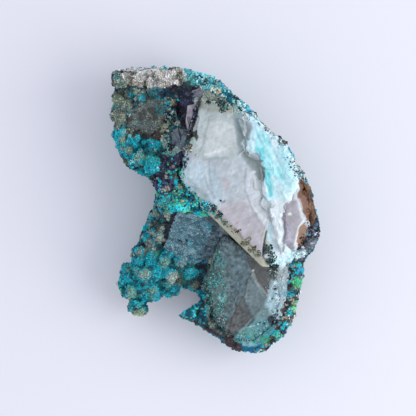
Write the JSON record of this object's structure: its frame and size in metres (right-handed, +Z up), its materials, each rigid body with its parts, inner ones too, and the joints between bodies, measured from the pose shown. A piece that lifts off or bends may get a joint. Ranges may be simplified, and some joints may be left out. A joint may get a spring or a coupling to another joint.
{
  "type": "chrysocolla mineral specimen",
  "caption": "Lump of dark rock under a turquoise botryoidal crust, with a pale glassy crystal slab on top and a smoky crystal below it, resting on its flat broken base.",
  "frame": {"origin": "middle of the specimen's bounding box at the level of its flat broken base", "axes": "+Z up from the base, +Y along the length towards the head, +X towards the granular rim"},
  "size_m": [0.0419, 0.0569, 0.0237],
  "materials": {
    "crusted_rock": "rough botryoidal and sugary turquoise crust with dark grains",
    "pale_crystal": "milky translucent crystal with a silky white-cyan sheet",
    "smoky_crystal": "smoky grey-green crystal with flat glassy facets"
  },
  "bodies": {
    "root": {"matrix": "crusted_rock", "pale_crystal": "pale_crystal", "smoky_crystal": "smoky_crystal"}
  },
  "joints": []
}
